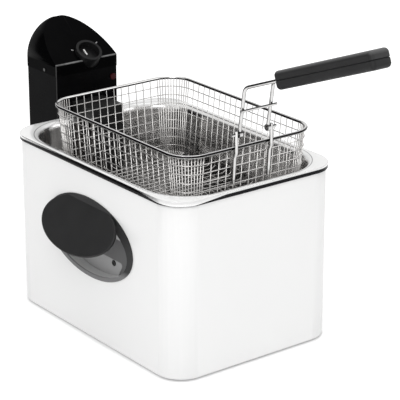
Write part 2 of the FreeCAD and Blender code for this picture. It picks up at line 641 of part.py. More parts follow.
def basket_corners():
    """Curved mesh in the four corners, upright wires crossing level arcs."""
    wire, rail = size("mesh_wire"), size("rail_wire")
    mid = size("basket_middle")
    high = size("basket_rim") - size("rim_wire") - size("seat_gap") - rail
    low = size("basket_rim") - size("basket_height") + rail + size("seat_gap")
    rows, count = int(size("rows")), int(size("corner_wires"))
    half_w, half_d, radius = basket_half(0)
    gap = math.degrees(2 * size("seat_gap") / radius)
    solids = []
    for quarter, (sx, sy) in enumerate(((1, 1), (-1, 1), (-1, -1), (1, -1))):
        pieces = []
        for row in range(rows + 1):
            share = row / rows
            z = low + (high - low) * share
            _, _, ring = basket_half(1 - share)
            axis = V(sx * (half_w - radius), mid + sy * (half_d - radius), z)
            thick = rail if row in (0, rows) else wire
            face = Part.Face(Part.makePolygon([V(ring - thick, 0, 0), V(ring, 0, 0), V(ring, 0, thick),
                                               V(ring - thick, 0, thick), V(ring - thick, 0, 0)]))
            arc = face.revolve(V(0, 0, 0), V(0, 0, 1), 90 - 2 * gap)
            arc.Placement = FreeCAD.Placement(axis, FreeCAD.Rotation(V(0, 0, 1), 90 * quarter + gap))
            pieces.append(arc)
        top_r, low_r = basket_half(0)[2], basket_half(1)[2]
        for index in range(count):
            angle = gap + (90 - 2 * gap) * (index + 0.5) / count
            profile = Part.makePolygon([V(low_r - wire, 0, low), V(low_r, 0, low), V(top_r, 0, high),
                                        V(top_r - wire, 0, high), V(low_r - wire, 0, low)])
            blade = Part.Face(profile).extrude(V(0, wire, 0))
            blade.translate(V(0, -wire / 2, 0))
            axis = V(sx * (half_w - radius), mid + sy * (half_d - radius), 0)
            blade.Placement = FreeCAD.Placement(axis, FreeCAD.Rotation(V(0, 0, 1), 90 * quarter + angle)).multiply(
                blade.Placement)
            pieces.append(blade)
        solids.append(fused(pieces))
    for index, solid in enumerate(solids, start=1):
        shape_part(f"basket_corner_{index}", solid)


def basket_floor():
    """Floor mesh inside a square-section hoop."""
    wire, rail = size("mesh_wire"), size("rail_wire")
    mid = size("basket_middle")
    half_w, half_d, radius = basket_half(1)
    low = size("basket_rim") - size("basket_height")
    outer = Part.Face(basket_ring(1, low))
    inner = Part.Face(basket_ring(1, low).makeOffset2D(-rail))
    solids = [outer.cut(inner).extrude(V(0, 0, rail))]

    def reach(offset, half_across, half_along):
        """How far a wire runs before it meets the hoop."""
        past = max(0.0, abs(offset) - (half_across - radius))
        return half_along - radius + math.sqrt(max(0.0, radius ** 2 - past ** 2)) - rail / 2
    for axis, gaps, across, along, z in (("x", "floor_gaps_x", half_w, half_d, low),
                                         ("y", "floor_gaps_y", half_d, half_w, low + wire + size("mesh_gap"))):
        count = int(size(gaps))
        for index in range(1, count):
            offset = -across + 2 * across * index / count
            half = reach(offset, across, along)
            box = (wire, 2 * half, rail / 2) if axis == "x" else (2 * half, wire, rail / 2)
            corner = V(offset - wire / 2, mid - half, z) if axis == "x" else V(-half, mid + offset - wire / 2, z)
            solids.append(Part.makeBox(*box, corner))
    shape_part("basket_floor", fused(solids))


def basket_bars():
    """Two bars up the front wall, stepping out past the rim to carry the pivot pins of the handle."""
    side, front, top = size("bar_side"), size("pivot_front"), size("pivot_level")
    low, rim, bar = size("bar_low"), size("basket_rim"), size("bar_wire")
    step = rim - size("bar_step")
    clear = size("basket_depth") / 2 - size("basket_middle") + bar + size("seat_gap")
    slope = size("basket_draft") / size("basket_height")
    wall = clear + size("rim_wire")
    for label, sign in (("handle_bar_left", -1), ("handle_bar_right", 1)):
        x = sign * side
        rise = tube([(x, slope * (rim - low) - clear, low), (x, slope * (rim - step) - clear, step),
                     (x, -wall, rim - 2 * size("rim_wire")), (x, -front, top + size("eye_radius"))],
                    bar, size("handle_bend"))
        pin = rod((sign * (size("leg_side") - size("eye_width") / 2 - 1), -front, top),
                  (sign * size("pin_end"), -front, top), size("pin_radius"))
        shape_part(label, rise.fuse(pin))


def handle_frame():
    """Two bent wires from the pivot eyes to the grip, tied by a crossbar."""
    front, top = size("pivot_front"), size("pivot_level")
    tilt = math.radians(size("grip_tilt"))
    run = size("tang_length")
    for label, sign in (("handle_wire_left", -1), ("handle_wire_right", 1)):
        leg, tang = sign * size("leg_side"), sign * size("tang_side")
        grip = (tang, -size("grip_front"), size("grip_level"))
        end = (tang, grip[1] - run * math.cos(tilt), grip[2] + run * math.sin(tilt))
        wire = tube([(leg, -front, top + size("eye_radius") - 1), (leg, -size("bend_front"), size("bend_level")),
                     grip, end], size("leg_wire"), size("handle_bend"))
        half = size("eye_width") / 2
        eye = rod((leg - half, -front, top), (leg + half, -front, top), size("eye_radius"))
        hole = rod((leg - half, -front, top), (leg + half, -front, top), size("pin_radius") + size("pin_gap"))
        shape_part(label, wire.fuse(eye).cut(hole))
    share = (size("cross_level") - top) / (size("bend_level") - top)
    y = -front - (size("bend_front") - front) * share - size("leg_wire") - size("cross_wire")
    shape_part("handle_crossbar", rod((-size("cross_end"), y, size("cross_level")),
                                      (size("cross_end"), y, size("cross_level")), size("cross_wire")))


def grip_half(label, above):
    """Half of the moulded grip, split along the plane of the wires."""
    body = new_body(label)
    turn = FreeCAD.Rotation(V(1, 0, 0), -size("grip_tilt"))
    name = f"{label}_Block"
    cos, sin = "cos(grip_tilt * 1 deg)", "sin(grip_tilt * 1 deg)"
    off = "0" if above else "-grip_height"
    base = ("-grip_width / 2", f"-grip_front - grip_length * {cos} + ({off}) * {sin}",
            f"grip_level + grip_length * {sin} + ({off}) * {cos}")
    prim(body, "AdditiveBox", name, base,
         {"Length": "grip_width", "Width": "grip_length", "Height": "grip_height"}, turn)
    normal = turn.multVec(V(0, 0, 1 if above else -1))
    middle = body.Tip.Shape.CenterOfMass

    def outer_edge(edge):
        ends = [(vertex.Point - middle).dot(normal) for vertex in edge.Vertexes]
        return max(ends) > 0 and (min(ends) > 0 or abs(ends[0] - ends[1]) > 1)

    def seam_edge(edge):
        highest = max((vertex.Point - middle).dot(normal) for vertex in edge.Vertexes)
        return highest < -size("grip_height") / 2 + SLACK
    round_edges(body, "grip_round", outer_edge)
    round_edges(body, "grip_seam", seam_edge, "Chamfer")
    for side in (-1, 1):
        prim(body, "SubtractiveCylinder", f"{label}_Groove{side + 1}",
             (f"{side} * tang_side", "-grip_front", "grip_level"),
             {"Radius": "leg_wire + tang_gap", "Height": "tang_length + tang_gap"},
             FreeCAD.Rotation(V(1, 0, 0), 90 - size("grip_tilt")))


def build():
    """Makes every sub-part in turn."""
    housing()
    base()
    tank()
    carry_handle("carry_handle_left", -1)
    carry_handle("carry_handle_right", 1)
    head_body()
    head_cap()
    knob()
    regulator()
    head_fittings()
    carrier()
    heater_flange()
    heater()
    bulbs()
    basket_rim()
    basket_walls()
    basket_corners()
    basket_floor()
    basket_bars()
    handle_frame()
    grip_half("grip_upper", True)
    grip_half("grip_lower", False)


def check_and_write():
    """Stops on any failed object or bad shape, then writes each sub-part."""
    doc.recompute()
    for thing in doc.Objects:
        if "Invalid" in thing.State or "Error" in thing.State:
            raise RuntimeError(f"{thing.Name} failed: {thing.State}")
    for thing in PARTS:
        if thing.Shape.isNull() or not thing.Shape.isValid():
            raise RuntimeError(f"{thing.Label} has no valid shape")
    os.makedirs("parts", exist_ok=True)
    for thing in PARTS:
        thing.Shape.exportStep(f"parts/{thing.Label}.step")
        box = thing.Shape.BoundBox
        print(f"{thing.Label}: {len(thing.Shape.Solids)} solid, {thing.Shape.Volume:.0f} mm3, "
              f"x {box.XMin:.1f} {box.XMax:.1f}, y {box.YMin:.1f} {box.YMax:.1f}, z {box.ZMin:.1f} {box.ZMax:.1f}")


build()
check_and_write()
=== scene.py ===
"""Looks of the deep fryer: finishes, pressed tank, wire mesh, small fittings, floor, light and camera.

Sizes are in metres. A run says where a ramp starts and ends, and a fade says it from the edge it crosses.
"""
import json
import math

import bmesh
import bpy
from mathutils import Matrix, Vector


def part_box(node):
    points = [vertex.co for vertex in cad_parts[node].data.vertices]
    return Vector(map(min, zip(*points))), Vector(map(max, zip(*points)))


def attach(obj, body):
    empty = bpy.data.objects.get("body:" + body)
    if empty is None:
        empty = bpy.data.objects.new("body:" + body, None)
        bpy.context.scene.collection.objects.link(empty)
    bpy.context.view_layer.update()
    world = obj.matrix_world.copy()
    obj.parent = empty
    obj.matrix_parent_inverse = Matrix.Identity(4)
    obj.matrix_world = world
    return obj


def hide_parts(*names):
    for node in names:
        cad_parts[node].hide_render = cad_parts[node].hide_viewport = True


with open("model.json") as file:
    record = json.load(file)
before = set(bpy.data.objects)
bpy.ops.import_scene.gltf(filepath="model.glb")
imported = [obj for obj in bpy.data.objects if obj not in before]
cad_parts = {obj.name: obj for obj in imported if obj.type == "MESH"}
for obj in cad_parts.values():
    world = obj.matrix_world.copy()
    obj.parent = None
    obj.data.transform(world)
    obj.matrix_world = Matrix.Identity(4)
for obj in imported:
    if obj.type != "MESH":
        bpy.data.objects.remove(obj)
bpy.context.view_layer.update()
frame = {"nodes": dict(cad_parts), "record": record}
nodes = frame["nodes"]
scene = bpy.context.scene
scene.view_settings.view_transform = "Standard"

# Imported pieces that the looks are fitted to

TANK_LOW, TANK_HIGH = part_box("tank")
CAP_LOW, CAP_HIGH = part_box("head_cap")
RIM_LOW, RIM_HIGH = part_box("basket_rim")
FLOOR_LOW, FLOOR_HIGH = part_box("basket_floor")
WALL_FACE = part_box("housing_shell")[1].x
CUP_WALL = 0.002
CUP_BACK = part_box("carry_handle_right")[0].x + CUP_WALL
PANEL_RISE = 0.0145
PANEL_EDGE = Vector((0, CAP_LOW.y, CAP_LOW.z + PANEL_RISE))


# Shader nodes

NOISE_LOW, NOISE_HIGH = 0.3, 0.7


def set_sockets(node, values):
    """Plain numbers and colours on a node's own sockets."""
    for name, value in values.items():
        node.inputs[name].default_value = value


def new_material(name):
    """A new material with its node tree and its shader."""
    material = bpy.data.materials.new(name)
    material.use_nodes = True
    tree = material.node_tree
    return material, tree, tree.nodes["Principled BSDF"]


def place_in(tree):
    """The point's place in the part's own frame, in metres."""
    return tree.nodes.new("ShaderNodeTexCoord").outputs["Object"]


def normal_in(tree):
    """The surface's normal in the part's own frame."""
    return tree.nodes.new("ShaderNodeTexCoord").outputs["Normal"]


def noise(tree, scale, detail=3.0, stretch=(1, 1, 1)):
    """Solid noise in the part's own frame, scale in cycles per metre."""
    mapping = tree.nodes.new("ShaderNodeMapping")
    set_sockets(mapping, {"Scale": stretch})
    texture = tree.nodes.new("ShaderNodeTexNoise")
    set_sockets(texture, {"Scale": scale, "Detail": detail})
    tree.links.new(place_in(tree), mapping.inputs["Vector"])
    tree.links.new(mapping.outputs["Vector"], texture.inputs["Vector"])
    return texture.outputs["Fac"]


def ramp(tree, value, start, end, low=0.0, high=1.0):
    """A value that goes from low to high while another goes from start to end."""
    node = tree.nodes.new("ShaderNodeMapRange")
    set_sockets(node, {"From Min": start, "From Max": end, "To Min": low, "To Max": high})
    tree.links.new(value, node.inputs["Value"])
    return node.outputs["Result"]


def across(tree, value, edge, fade, low=0.0, high=1.0):
    """A ramp across an edge, where fade says how far past the edge it starts and ends."""
    start, end = fade
    return ramp(tree, value, edge + start, edge + end, low, high)


def band(tree, value, start, end, blur):
    """1 while a value lies between start and end and 0 elsewhere, with soft ends as wide as blur."""
    rising = ramp(tree, value, start, start + blur)
    falling = ramp(tree, value, end - blur, end, 1, 0)
    return math_step(tree, "MINIMUM", rising, falling)


def spread(tree, value, low, high):
    """Maps a noise value from its usual band to a range."""
    return ramp(tree, value, NOISE_LOW, NOISE_HIGH, low, high)


def mixed(tree, value, first, second):
    """A colour between two, each given as numbers or as a socket."""
    node = tree.nodes.new("ShaderNodeMix")
    node.data_type = "RGBA"
    tree.links.new(value, node.inputs["Factor"])
    colours = [socket for socket in node.inputs if socket.type == "RGBA"]
    for socket, colour in zip(colours, (first, second)):
        if isinstance(colour, tuple):
            socket.default_value = (*colour, 1)
        else:
            tree.links.new(colour, socket)
    return next(socket for socket in node.outputs if socket.type == "RGBA")


def vector_math(tree, operation, first, second=None):
    """One step of vector arithmetic."""
    node = tree.nodes.new("ShaderNodeVectorMath")
    node.operation = operation
    tree.links.new(first, node.inputs[0])
    if second is not None:
        node.inputs[1].default_value = second
    return node.outputs["Value" if operation in ("LENGTH", "DOT_PRODUCT") else "Vector"]


def math_step(tree, operation, first, second):
    """One step of arithmetic between two sockets."""
    node = tree.nodes.new("ShaderNodeMath")
    node.operation = operation
    tree.links.new(first, node.inputs[0])
    tree.links.new(second, node.inputs[1])
    return node.outputs["Value"]


def parts_of(tree, vector):
    """The three coordinates of a vector."""
    split = tree.nodes.new("ShaderNodeSeparateXYZ")
    tree.links.new(vector, split.inputs["Vector"])
    return split.outputs["X"], split.outputs["Y"], split.outputs["Z"]


def height_of(tree, vector):
    """The upright coordinate of a vector."""
    return parts_of(tree, vector)[2]


def past_corner(tree, vector, corner):
    """Distance of a vector from a corner, counting only the coordinates that go past the corner's."""
    beyond = vector_math(tree, "SUBTRACT", vector, corner)
    return vector_math(tree, "LENGTH", vector_math(tree, "MAXIMUM", beyond, (0, 0, 0)))


def from_line(tree, place, point, axes):
    """Distance of a place from a line through a point, where axes has 0 along the line and 1 across it."""
    offset = vector_math(tree, "SUBTRACT", place, point)
    return vector_math(tree, "LENGTH", vector_math(tree, "MULTIPLY", offset, axes))


def bump(tree, shader, value, depth):
    """Surface relief from a height value, depth in metres."""
    node = tree.nodes.new("ShaderNodeBump")
    set_sockets(node, {"Strength": 1, "Distance": depth})
    tree.links.new(value, node.inputs["Height"])
    tree.links.new(node.outputs["Normal"], shader.inputs["Normal"])


# Painted light and shade in the finger cups

CUP_MIDDLE, CUP_RIM = 0.104, 0.0016
CUP_SLANT = (0, 0.857, -0.514)
PATCH_TOP, PATCH_SIDE, PATCH_ROUND = 0.1058, -0.0125, 0.006
GLEAM_FOOT = 0.132
MIDDLE_FADE, PATCH_FADE, GLEAM_FADE = (-0.004, 0.004), (-0.0006, 0.0006), (0, 0.0016)
BACK_FADE, WALL_FADE, FLAP_FADE = (0.0004, 0.0012), (0, 0.0008), (0.0001, 0.0004)
# Painted colours: lit floor and lower rim, shaded sides, and on the back a lit patch, shade and a gleam.
CUP_FLOOR_LIT, CUP_SIDE_SHADE, CUP_EDGE_LIT = (0.70, 0.70, 0.70), (0.085, 0.085, 0.087), (0.17, 0.17, 0.172)
CUP_LIT_PATCH, CUP_SHADE, CUP_GLEAM = (0.40, 0.40, 0.402), (0.13, 0.13, 0.132), (0.62, 0.62, 0.62)


def cup_back(tree, place, height):
    """Painted light on a cup's back wall: a lit grey patch low in the middle, shade round it and a gleam
    up high.
    """
    slanted = tree.nodes.new("ShaderNodeCombineXYZ")
    tree.links.new(height, slanted.inputs["X"])
    tree.links.new(vector_math(tree, "DOT_PRODUCT", place, CUP_SLANT), slanted.inputs["Y"])
    round_centre = (PATCH_TOP - PATCH_ROUND, PATCH_SIDE - PATCH_ROUND, 0)
    rounded = past_corner(tree, slanted.outputs["Vector"], round_centre)
    shaded = mixed(tree, across(tree, rounded, PATCH_ROUND, PATCH_FADE), CUP_LIT_PATCH, CUP_SHADE)
    return mixed(tree, across(tree, height, GLEAM_FOOT, GLEAM_FADE), shaded, CUP_GLEAM)


def painted_cup_light(tree, base):
    """Painted light and shade in the cups behind the flaps: back, shaded dark sides, lit pale floor, lit
    paler lower rim.
    """
    place = vector_math(tree, "ABSOLUTE", place_in(tree))
    x, _, z = parts_of(tree, place)
    upper = across(tree, z, CUP_MIDDLE, MIDDLE_FADE)
    sides = mixed(tree, upper, CUP_FLOOR_LIT, CUP_SIDE_SHADE)
    rim = mixed(tree, upper, CUP_EDGE_LIT, base)
    inside = mixed(tree, across(tree, x, CUP_BACK, BACK_FADE), cup_back(tree, place, z), sides)
    cup = mixed(tree, across(tree, x, WALL_FACE, WALL_FADE), inside, rim)
    return mixed(tree, across(tree, x, WALL_FACE + CUP_RIM, FLAP_FADE), cup, base)


# Painted reflections and metal of the tank

ABOVE_ALL = 1
LIP_CORNER, LIP_HEIGHT, LIP_FADE = 0.0344, 0.006, (-0.0009, -0.0004)
FLANGE_X, FLANGE_Y, MOUTH_CORNER = 0.0052, 0.0047, 0.062
LINE_IN, LINE_OUT, LINE_BLUR = 0.0006, 0.0012, 0.0006
SATIN_CORNER, SATIN_FADE, SATIN_LEVEL = 0.075, (-0.0012, -0.0002), (-0.0045, -0.0025)
FLANGE_METAL, LIP_METAL_FULL = 0.14, 0.8
NEAR_SHIFT, NEAR_RUN = (0, 0.06, 0), (-0.09, -0.03)
FAR_RUN, FRONT_RUN = (0.02, 0.13), (0.01, 0.02)
# Painted reflections: how high the lip's dark foot reaches, and the colours of the dark foot, bright lip,
# mouth line and flange.
DARK_FULL, DARK_NEAR, DARK_FAR, DARK_FRONT = 0.0057, 0.0004, 0.0032, 0.0042
DARK_FADE = (-0.0003, 0.0003)
LIP_DARK_REFLECTION, LIP_BRIGHT_REFLECTION, MOUTH_REFLECTION_LINE = (0.012, 0.012, 0.013), (0.72, 0.72, 0.72), (0.34, 0.34, 0.345)
FLANGE_BRIGHT_REFLECTION = (0.86, 0.86, 0.855)


def from_ring(tree, half_x, half_y, corner):
    """Seen from above, how far a point lies from the straight core of a rounded rectangle.

    On the rectangle's edge that is the radius of its corners.
    """
    core = (half_x - corner, half_y - corner, ABOVE_ALL)
    return past_corner(tree, vector_math(tree, "ABSOLUTE", place_in(tree)), core)


def from_mouth(tree, corner):
    """The same for the tank's mouth, with corners of a given radius."""
    return from_ring(tree, TANK_HIGH.x - FLANGE_X, TANK_HIGH.y - FLANGE_Y, corner)


def on_lip(tree):
    """1 on the outer face of the tank's lip, and 0 further in."""
    return across(tree, from_ring(tree, TANK_HIGH.x, TANK_HIGH.y, LIP_CORNER), LIP_CORNER, LIP_FADE)


def on_flange(tree):
    """1 on the tank's flange and on the rounded corners of its mouth, and 0 further in and lower down."""
    around = across(tree, from_mouth(tree, SATIN_CORNER), SATIN_CORNER, SATIN_FADE)
    level = across(tree, height_of(tree, place_in(tree)), TANK_HIGH.z, SATIN_LEVEL)
    return math_step(tree, "MINIMUM", around, level)


def off_corner(tree):
    """0 at the tank's near left corner, rising to 1 along the sides that meet there."""
    x, y, _ = parts_of(tree, vector_math(tree, "ADD", place_in(tree), NEAR_SHIFT))
    return ramp(tree, math_step(tree, "MAXIMUM", x, y), *NEAR_RUN)


def painted_tank_reflections(tree, base):
    """Painted reflections on the tank: dark lip foot, thinner towards corners, bright flange, line round
    the mouth.
    """
    x, y, z = parts_of(tree, place_in(tree))
    near = ramp(tree, off_corner(tree), 0, 1, DARK_NEAR, DARK_FULL)
    far = ramp(tree, math_step(tree, "MAXIMUM", x, y), *FAR_RUN, DARK_FULL, DARK_FAR)
    front = across(tree, y, -TANK_HIGH.y, FRONT_RUN, DARK_FRONT, DARK_FULL)
    dark_height = math_step(tree, "MINIMUM", math_step(tree, "MINIMUM", near, far), front)
    above = across(tree, math_step(tree, "SUBTRACT", z, dark_height), TANK_HIGH.z - LIP_HEIGHT, DARK_FADE)
    lip = mixed(tree, above, LIP_DARK_REFLECTION, LIP_BRIGHT_REFLECTION)
    flange = mixed(tree, on_flange(tree), base, FLANGE_BRIGHT_REFLECTION)
    inner = from_mouth(tree, MOUTH_CORNER)
    line = band(tree, inner, MOUTH_CORNER - LINE_IN, MOUTH_CORNER + LINE_OUT, LINE_BLUR)
    return mixed(tree, on_lip(tree), mixed(tree, line, flange, MOUTH_REFLECTION_LINE), lip)


def satin_flange(tree):
    """Full metal in the tank and on its lip, and satin on the flange and at the lip's near left corner."""
    within = ramp(tree, on_flange(tree), 0, 1, 1, FLANGE_METAL)
    polished = ramp(tree, off_corner(tree), 0, LIP_METAL_FULL, FLANGE_METAL, 1)
    lip = math_step(tree, "MINIMUM", on_lip(tree), polished)
    return math_step(tree, "MAXIMUM", within, lip)


# Painted reflections and highlights on the basket's rim, the handle, the grip and the head

BAND_LOW, BAND_HIGH, BAND_BLUR = -0.0019, 0.0007, 0.0004
BAND_RISE, BAND_RUN = 0.0011, (-0.93, -0.85)
BEND_RISE, BEND_FADE, BEND_DARKER = 0.0245, (-0.008, 0), 0.35
WIRE_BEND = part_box("handle_crossbar")[1].z + BEND_RISE
WIRE_ASIDE, WIRE_TOP, WIRE_EDGE = (0.79, -0.61, 0), (0.28, 0.48), (0.6, 0.85)
GRIP_TURN = (0.2, 0.95)
# Runs of the painted highlights on the head's edges.
PANEL_HIGHLIGHT, HIGHLIGHT_SCALE, HIGHLIGHT_LEAST = (0.0005, 0.0015), 90, 0.35
POST_HIGHLIGHT, POST_FAINT = (0.0004, 0.0012), 0.25
# Colours of painted reflections on the rim and wires, painted sheen on the grip and painted edge
# highlights.
RIM_DARK_REFLECTION, WIRE_DARK_REFLECTION = (0.015, 0.015, 0.015), (0.05, 0.05, 0.05)
GRIP_PAINTED_SHEEN, EDGE_HIGHLIGHT = (0.10, 0.10, 0.101), (0.26, 0.26, 0.26)


def painted_rim_reflection(tree, base):
    """Painted dark reflection along the sides of the basket's rim wire, higher on its left and front runs.
    """
    centre = (RIM_LOW + RIM_HIGH) / 2
    half = (RIM_HIGH - RIM_LOW) / 2
    place = vector_math(tree, "SUBTRACT", place_in(tree), tuple(centre))
    x, y, z = parts_of(tree, vector_math(tree, "MULTIPLY", place, (1 / half.x, 1 / half.y, 1)))
    rise = ramp(tree, math_step(tree, "MINIMUM", x, y), *BAND_RUN, BAND_RISE, 0)
    dark = band(tree, math_step(tree, "SUBTRACT", z, rise), BAND_LOW, BAND_HIGH, BAND_BLUR)
    return mixed(tree, dark, base, RIM_DARK_REFLECTION)


def wire_shine(tree, base):
    """Painted reflection: dark top and sides of the handle's wires, as bright wire mirrors a room; more
    past the bend.
    """
    normal = normal_in(tree)
    past_bend = across(tree, height_of(tree, place_in(tree)), WIRE_BEND, BEND_FADE, 0, BEND_DARKER)
    top = ramp(tree, math_step(tree, "ADD", height_of(tree, normal), past_bend), *WIRE_TOP)
    aside = vector_math(tree, "DOT_PRODUCT", normal, WIRE_ASIDE)
    start, full = WIRE_EDGE
    right, left = ramp(tree, aside, start, full), ramp(tree, aside, -full, -start, 1, 0)
    dark = math_step(tree, "MAXIMUM", top, math_step(tree, "MAXIMUM", right, left))
    return mixed(tree, dark, base, WIRE_DARK_REFLECTION)


def grip_sheen(tree, base):
    """Paler top of the grip, painted in as a sheen where it catches the light."""
    return mixed(tree, ramp(tree, height_of(tree, normal_in(tree)), *GRIP_TURN), base, GRIP_PAINTED_SHEEN)


def painted_edge_highlights(tree, base):
    """Painted highlight, uneven along the front edge of the sloping panel, and fainter on the upright
    edges under its ends.
    """
    place = place_in(tree)
    panel = from_line(tree, place, PANEL_EDGE, (0, 1, 1))
    post = from_line(tree, vector_math(tree, "ABSOLUTE", place), (CAP_HIGH.x, CAP_LOW.y, 0), (1, 1, 0))
    lit_edge = ramp(tree, panel, *PANEL_HIGHLIGHT, 1, 0)
    patchy = spread(tree, noise(tree, HIGHLIGHT_SCALE), HIGHLIGHT_LEAST, 1)
    faint = ramp(tree, post, *POST_HIGHLIGHT, POST_FAINT, 0)
    highlight = math_step(tree, "MAXIMUM", math_step(tree, "MULTIPLY", lit_edge, patchy), faint)
    return mixed(tree, highlight, base, EDGE_HIGHLIGHT)


# Materials

GRAIN_DETAIL, COAT_ROUGH = 2, 0.08


def finish(name, colour, rough, metal=0.0, coat=0.0, specular=0.5, vary=0.06, cloud=40, grain=1500,
           depth=0.00002, rough_vary=0.05, stretch=(1, 1, 1), painted=None, plated=None):
    """A surface with cloudy colour, uneven gloss and a fine relief; painted and plated add masks to it."""
    material, tree, shader = new_material(name)
    dark = tuple(c * (1 - vary) for c in colour)
    light = tuple(min(1, c * (1 + vary)) for c in colour)
    base = mixed(tree, spread(tree, noise(tree, cloud), 0, 1), dark, light)
    if painted:
        base = painted(tree, base)
    tree.links.new(base, shader.inputs["Base Color"])
    fine = noise(tree, grain, GRAIN_DETAIL, stretch)
    tree.links.new(spread(tree, fine, rough - rough_vary, rough + rough_vary), shader.inputs["Roughness"])
    set_sockets(shader, {"Metallic": metal, "Specular IOR Level": specular, "Coat Weight": coat,
                         "Coat Roughness": COAT_ROUGH})
    if plated:
        tree.links.new(plated(tree), shader.inputs["Metallic"])
    bump(tree, shader, fine, depth)
    return material


# The black panels carry painted highlights along their edges.
PANEL_BLACK = dict(rough=0.16, vary=0.2, grain=2600, depth=0.000006, painted=painted_edge_highlights)
GRIP_BLACK = dict(colour=(0.014, 0.014, 0.0145), rough=0.46, specular=0.2, vary=0.12, grain=2200,
                  depth=0.00004)
CHROME = dict(metal=1, cloud=120, rough_vary=0.04)

FINISHES = {
    "white_enamel": dict(colour=(0.85, 0.85, 0.848), rough=0.34, coat=0.15, vary=0.006, cloud=9, grain=420,
                         depth=0.000003, rough_vary=0.03),
    "base_steel": dict(colour=(0.20, 0.20, 0.205), rough=0.6, vary=0.1),
    "foot_rubber": dict(colour=(0.03, 0.03, 0.03), rough=0.75, vary=0.15, grain=2500, depth=0.00005),
    # The tank's steel carries painted reflections.
    "polished_steel": dict(colour=(0.70, 0.695, 0.69), rough=0.19, metal=1, vary=0.03, grain=400,
                           depth=0.000004, stretch=(1, 1, 14), painted=painted_tank_reflections, plated=satin_flange),
    # The finger cups carry painted light and shade.
    "carry_plastic_painted_light": dict(colour=(0.016, 0.016, 0.0165), rough=0.5, specular=0.22, vary=0.12, grain=2400,
                          depth=0.00003, painted=painted_cup_light),
    "black_plastic": dict(PANEL_BLACK, colour=(0.003, 0.003, 0.0033), specular=0.017),
    "cap_plastic": dict(PANEL_BLACK, colour=(0.0016, 0.0016, 0.0018), specular=0.010),
    "knob_plastic": dict(colour=(0.007, 0.007, 0.0073), rough=0.35, specular=0.12, vary=0.12, grain=2400),
    "pointer_white": dict(colour=(0.85, 0.85, 0.84), rough=0.5, vary=0.03),
    "mark_grey": dict(colour=(0.30, 0.30, 0.30), rough=0.5, vary=0.05),
    "lamp_red": dict(colour=(0.04, 0.002, 0.003), rough=0.12, specular=0.2, vary=0.1),
    "insulator": dict(colour=(0.60, 0.58, 0.52), rough=0.6, vary=0.08),
    "black_steel": dict(colour=(0.012, 0.012, 0.012), rough=0.4, specular=0.25, vary=0.2, grain=1800),
    "sheet_steel": dict(colour=(0.60, 0.60, 0.60), rough=0.3, metal=1, vary=0.04, grain=500,
                        depth=0.000006, stretch=(1, 1, 12)),
    "screw_steel": dict(colour=(0.09, 0.09, 0.09), rough=0.35, metal=1),
    "heater_steel": dict(colour=(0.30, 0.285, 0.27), rough=0.38, metal=1, vary=0.25, cloud=60),
    "chrome_wire": dict(CHROME, colour=(0.52, 0.51, 0.50), rough=0.13),
    "rim_chrome": dict(CHROME, colour=(0.62, 0.615, 0.61), rough=0.13, painted=painted_rim_reflection),
    "handle_chrome": dict(CHROME, colour=(0.60, 0.595, 0.59), rough=0.12, vary=0.08, painted=wire_shine),
    "grip_plastic": GRIP_BLACK,
    "grip_top": dict(GRIP_BLACK, painted=grip_sheen),
}
MATERIALS = {name: finish(name, **settings) for name, settings in FINISHES.items()}

OWN_FINISH = {
    "carry_handle_left": "carry_plastic_painted_light",
    "carry_handle_right": "carry_plastic_painted_light",
    "head_cap": "cap_plastic",
    "thermostat_knob": "knob_plastic",
    "cap_screw_left": "screw_steel",
    "cap_screw_right": "screw_steel",
    "basket_rim": "rim_chrome",
    "handle_bar_left": "handle_chrome",
    "handle_bar_right": "handle_chrome",
    "handle_wire_left": "handle_chrome",
    "handle_wire_right": "handle_chrome",
    "handle_crossbar": "handle_chrome",
    "grip_upper": "grip_top",
}
for entry in frame["record"]["subparts"]:
    mesh = nodes[entry["node"]].data
    mesh.materials.clear()
    mesh.materials.append(MATERIALS[OWN_FINISH.get(entry["node"], entry["material_slot"])])


# Edges of the moulded and pressed pieces

SHARP = math.radians(35)
WELD_GAP, EDGE_SEGMENTS = 0.00002, 2
EDGES = {"head_body": 0.0008, "head_cap": 0.0012, "thermostat_knob": 0.0007,
         "heater_carrier": 0.0004, "housing_shell": 0.0004}


def soften(name, width):
    """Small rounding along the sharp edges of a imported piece."""
    piece = nodes[name]
    weld = piece.modifiers.new("weld", "WELD")
    weld.merge_threshold = WELD_GAP
    bevel = piece.modifiers.new("edges", "BEVEL")
    bevel.width = width
    bevel.segments = EDGE_SEGMENTS
    bevel.limit_method = "ANGLE"
    bevel.angle_limit = SHARP
    bevel.harden_normals = True


for label, rounding in EDGES.items():
    soften(label, rounding)


# Meshes

QUARTERS = ((1, 1), (-1, 1), (-1, -1), (1, -1))
WIRE_SIDES = 6
ASKEW = Vector((0.3, 0.5, 0.8))


def new_object(name, data, location=(0, 0, 0), turn=(0, 0, 0)):
    """A new object in the scene."""
    thing = bpy.data.objects.new(name, data)
    thing.location = location
    thing.rotation_euler = turn
    scene.collection.objects.link(thing)
    return thing


def piece_from(bm, name, material, body, replaced=()):
    """A finished object from a mesh under construction, riding a body."""
    mesh = bpy.data.meshes.new(name)
    bmesh.ops.recalc_face_normals(bm, faces=bm.faces)
    bm.to_mesh(mesh)
    bm.free()
    mesh.shade_smooth()
    mesh.materials.append(MATERIALS[material])
    thing = new_object(name, mesh)
    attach(thing, body)
    if replaced:
        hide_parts(*replaced)
    return thing


def direction(quarter, share):
    """The level direction at a share of a quarter turn, with the quarters counted from +X."""
    angle = math.radians(90 * (quarter + share))
    return Vector((math.cos(angle), math.sin(angle), 0))


def skin(bm, rings, capped=True):
    """Faces between each ring of points and the next, and over the first and the last."""
    for first, second in zip(rings, rings[1:]):
        for k in range(len(first)):
            after = (k + 1) % len(first)
            bm.faces.new((first[k], first[after], second[after], second[k]))
    if capped:
        bm.faces.new(rings[0][::-1])
        bm.faces.new(rings[-1])


